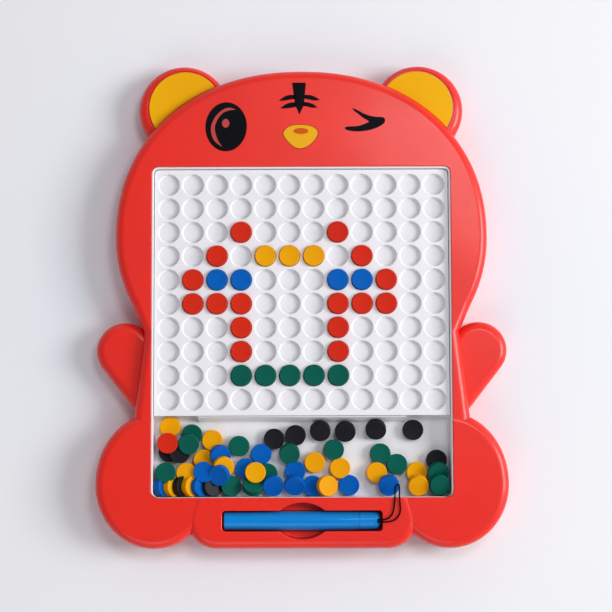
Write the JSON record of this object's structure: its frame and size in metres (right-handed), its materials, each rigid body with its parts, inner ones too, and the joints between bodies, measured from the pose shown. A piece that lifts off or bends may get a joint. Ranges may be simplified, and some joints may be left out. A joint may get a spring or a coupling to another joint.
{
  "type": "magnetic drawing board",
  "caption": "Flat animal-shaped toy board with a grid of round cells, a tray of loose coloured discs and a corded magnetic pen lying in a bay.",
  "frame": {"origin": "centre of the outline on the surface that the back rests on", "axes": "+X to the right, +Y to the top of the head, +Z out of the face"},
  "size_m": [0.2596, 0.3064, 0.0279],
  "materials": {
    "case_red": "semi-gloss moulded",
    "pan_white": "satin moulded",
    "sheet_grey": "pale vinyl face",
    "magnet_brown": "plain flexible magnet",
    "pad_yellow": "satin moulded",
    "pen_blue": "polished",
    "cord_black": "thin braided cord",
    "steel": "zinc plated",
    "red": "satin moulded",
    "yellow": "satin moulded",
    "blue": "satin moulded",
    "green": "satin moulded",
    "black": "satin moulded"
  },
  "bodies": {
    "case": {"front_shell": "case_red", "back_cover": "case_red", "tray_pan": "pan_white", "cell_grid": "pan_white", "board_magnet_sheet": "sheet_grey", "tray_magnet_sheet": "magnet_brown", "ear_pad_left": "pad_yellow", "ear_pad_right": "pad_yellow", "screw_brow_left": "steel", "screw_brow_right": "steel", "screw_cheek_left": "steel", "screw_cheek_right": "steel", "screw_foot_left": "steel", "screw_foot_right": "steel"},
    "pen": {"pen_barrel": "pen_blue", "pen_tail_cap": "pen_blue", "pen_magnet": "steel", "pen_lanyard": "cord_black"},
    "disc_row3_column4": {"disc_row3_column4": "red"},
    "disc_row3_column8": {"disc_row3_column8": "red"},
    "disc_row4_column3": {"disc_row4_column3": "red"},
    "disc_row4_column5": {"disc_row4_column5": "yellow"},
    "disc_row4_column6": {"disc_row4_column6": "yellow"},
    "disc_row4_column7": {"disc_row4_column7": "yellow"},
    "disc_row4_column9": {"disc_row4_column9": "red"},
    "disc_row5_column10": {"disc_row5_column10": "red"},
    "disc_row5_column2": {"disc_row5_column2": "red"},
    "disc_row5_column3": {"disc_row5_column3": "blue"},
    "disc_row5_column4": {"disc_row5_column4": "blue"},
    "disc_row5_column8": {"disc_row5_column8": "blue"},
    "disc_row5_column9": {"disc_row5_column9": "blue"},
    "disc_row6_column10": {"disc_row6_column10": "red"},
    "disc_row6_column2": {"disc_row6_column2": "red"},
    "disc_row6_column3": {"disc_row6_column3": "red"},
    "disc_row6_column4": {"disc_row6_column4": "red"},
    "disc_row6_column8": {"disc_row6_column8": "red"},
    "disc_row6_column9": {"disc_row6_column9": "red"},
    "disc_row7_column4": {"disc_row7_column4": "red"},
    "disc_row7_column8": {"disc_row7_column8": "red"},
    "disc_row8_column4": {"disc_row8_column4": "red"},
    "disc_row8_column8": {"disc_row8_column8": "red"},
    "disc_row9_column4": {"disc_row9_column4": "green"},
    "disc_row9_column5": {"disc_row9_column5": "green"},
    "disc_row9_column6": {"disc_row9_column6": "green"},
    "disc_row9_column7": {"disc_row9_column7": "green"},
    "disc_row9_column8": {"disc_row9_column8": "green"},
    "discs_upper_left": {"discs_upper_left": "black"},
    "discs_lower_left": {"discs_lower_left": "blue"},
    "disc_green_middle": {"disc_green_middle": "green"},
    "discs_centre_left": {"discs_centre_left": "blue"},
    "discs_centre": {"discs_centre": "blue"},
    "disc_black_first": {"disc_black_first": "black"},
    "disc_black_second": {"disc_black_second": "black"},
    "disc_black_third": {"disc_black_third": "black"},
    "disc_black_fourth": {"disc_black_fourth": "black"},
    "disc_yellow_middle": {"disc_yellow_middle": "yellow"},
    "discs_centre_right": {"discs_centre_right": "blue"},
    "discs_right": {"discs_right": "green"},
    "discs_right_yellow": {"discs_right_yellow": "yellow"},
    "discs_right_corner": {"discs_right_corner": "black"}
  },
  "joints": [
    {"name": "pen_lift", "type": "slide", "parent": "case", "child": "pen", "axis": [0, 0, 1], "range_m": [0, 0.03]},
    {"name": "disc_row3_column4_lift", "type": "slide", "parent": "case", "child": "disc_row3_column4", "axis": [0, 0, 1], "range_m": [0, 0.02]},
    {"name": "disc_row3_column8_lift", "type": "slide", "parent": "case", "child": "disc_row3_column8", "axis": [0, 0, 1], "range_m": [0, 0.02]},
    {"name": "disc_row4_column3_lift", "type": "slide", "parent": "case", "child": "disc_row4_column3", "axis": [0, 0, 1], "range_m": [0, 0.02]},
    {"name": "disc_row4_column5_lift", "type": "slide", "parent": "case", "child": "disc_row4_column5", "axis": [0, 0, 1], "range_m": [0, 0.02]},
    {"name": "disc_row4_column6_lift", "type": "slide", "parent": "case", "child": "disc_row4_column6", "axis": [0, 0, 1], "range_m": [0, 0.02]},
    {"name": "disc_row4_column7_lift", "type": "slide", "parent": "case", "child": "disc_row4_column7", "axis": [0, 0, 1], "range_m": [0, 0.02]},
    {"name": "disc_row4_column9_lift", "type": "slide", "parent": "case", "child": "disc_row4_column9", "axis": [0, 0, 1], "range_m": [0, 0.02]},
    {"name": "disc_row5_column10_lift", "type": "slide", "parent": "case", "child": "disc_row5_column10", "axis": [0, 0, 1], "range_m": [0, 0.02]},
    {"name": "disc_row5_column2_lift", "type": "slide", "parent": "case", "child": "disc_row5_column2", "axis": [0, 0, 1], "range_m": [0, 0.02]},
    {"name": "disc_row5_column3_lift", "type": "slide", "parent": "case", "child": "disc_row5_column3", "axis": [0, 0, 1], "range_m": [0, 0.02]},
    {"name": "disc_row5_column4_lift", "type": "slide", "parent": "case", "child": "disc_row5_column4", "axis": [0, 0, 1], "range_m": [0, 0.02]},
    {"name": "disc_row5_column8_lift", "type": "slide", "parent": "case", "child": "disc_row5_column8", "axis": [0, 0, 1], "range_m": [0, 0.02]},
    {"name": "disc_row5_column9_lift", "type": "slide", "parent": "case", "child": "disc_row5_column9", "axis": [0, 0, 1], "range_m": [0, 0.02]},
    {"name": "disc_row6_column10_lift", "type": "slide", "parent": "case", "child": "disc_row6_column10", "axis": [0, 0, 1], "range_m": [0, 0.02]},
    {"name": "disc_row6_column2_lift", "type": "slide", "parent": "case", "child": "disc_row6_column2", "axis": [0, 0, 1], "range_m": [0, 0.02]},
    {"name": "disc_row6_column3_lift", "type": "slide", "parent": "case", "child": "disc_row6_column3", "axis": [0, 0, 1], "range_m": [0, 0.02]},
    {"name": "disc_row6_column4_lift", "type": "slide", "parent": "case", "child": "disc_row6_column4", "axis": [0, 0, 1], "range_m": [0, 0.02]},
    {"name": "disc_row6_column8_lift", "type": "slide", "parent": "case", "child": "disc_row6_column8", "axis": [0, 0, 1], "range_m": [0, 0.02]},
    {"name": "disc_row6_column9_lift", "type": "slide", "parent": "case", "child": "disc_row6_column9", "axis": [0, 0, 1], "range_m": [0, 0.02]},
    {"name": "disc_row7_column4_lift", "type": "slide", "parent": "case", "child": "disc_row7_column4", "axis": [0, 0, 1], "range_m": [0, 0.02]},
    {"name": "disc_row7_column8_lift", "type": "slide", "parent": "case", "child": "disc_row7_column8", "axis": [0, 0, 1], "range_m": [0, 0.02]},
    {"name": "disc_row8_column4_lift", "type": "slide", "parent": "case", "child": "disc_row8_column4", "axis": [0, 0, 1], "range_m": [0, 0.02]},
    {"name": "disc_row8_column8_lift", "type": "slide", "parent": "case", "child": "disc_row8_column8", "axis": [0, 0, 1], "range_m": [0, 0.02]},
    {"name": "disc_row9_column4_lift", "type": "slide", "parent": "case", "child": "disc_row9_column4", "axis": [0, 0, 1], "range_m": [0, 0.02]},
    {"name": "disc_row9_column5_lift", "type": "slide", "parent": "case", "child": "disc_row9_column5", "axis": [0, 0, 1], "range_m": [0, 0.02]},
    {"name": "disc_row9_column6_lift", "type": "slide", "parent": "case", "child": "disc_row9_column6", "axis": [0, 0, 1], "range_m": [0, 0.02]},
    {"name": "disc_row9_column7_lift", "type": "slide", "parent": "case", "child": "disc_row9_column7", "axis": [0, 0, 1], "range_m": [0, 0.02]},
    {"name": "disc_row9_column8_lift", "type": "slide", "parent": "case", "child": "disc_row9_column8", "axis": [0, 0, 1], "range_m": [0, 0.02]},
    {"name": "discs_upper_left_lift", "type": "slide", "parent": "case", "child": "discs_upper_left", "axis": [0, 0, 1], "range_m": [0, 0.03]},
    {"name": "discs_lower_left_lift", "type": "slide", "parent": "case", "child": "discs_lower_left", "axis": [0, 0, 1], "range_m": [0, 0.03]},
    {"name": "disc_green_middle_lift", "type": "slide", "parent": "case", "child": "disc_green_middle", "axis": [0, 0, 1], "range_m": [0, 0.03]},
    {"name": "discs_centre_left_lift", "type": "slide", "parent": "case", "child": "discs_centre_left", "axis": [0, 0, 1], "range_m": [0, 0.03]},
    {"name": "discs_centre_lift", "type": "slide", "parent": "case", "child": "discs_centre", "axis": [0, 0, 1], "range_m": [0, 0.03]},
    {"name": "disc_black_first_lift", "type": "slide", "parent": "case", "child": "disc_black_first", "axis": [0, 0, 1], "range_m": [0, 0.03]},
    {"name": "disc_black_second_lift", "type": "slide", "parent": "case", "child": "disc_black_second", "axis": [0, 0, 1], "range_m": [0, 0.03]},
    {"name": "disc_black_third_lift", "type": "slide", "parent": "case", "child": "disc_black_third", "axis": [0, 0, 1], "range_m": [0, 0.03]},
    {"name": "disc_black_fourth_lift", "type": "slide", "parent": "case", "child": "disc_black_fourth", "axis": [0, 0, 1], "range_m": [0, 0.03]},
    {"name": "disc_yellow_middle_lift", "type": "slide", "parent": "case", "child": "disc_yellow_middle", "axis": [0, 0, 1], "range_m": [0, 0.03]},
    {"name": "discs_centre_right_lift", "type": "slide", "parent": "case", "child": "discs_centre_right", "axis": [0, 0, 1], "range_m": [0, 0.03]},
    {"name": "discs_right_lift", "type": "slide", "parent": "case", "child": "discs_right", "axis": [-0.8, 0, 0.6], "range_m": [0, 0.03]},
    {"name": "discs_right_yellow_lift", "type": "slide", "parent": "case", "child": "discs_right_yellow", "axis": [0, 0, 1], "range_m": [0, 0.03]},
    {"name": "discs_right_corner_lift", "type": "slide", "parent": "case", "child": "discs_right_corner", "axis": [0, 0, 1], "range_m": [0, 0.03]}
  ]
}
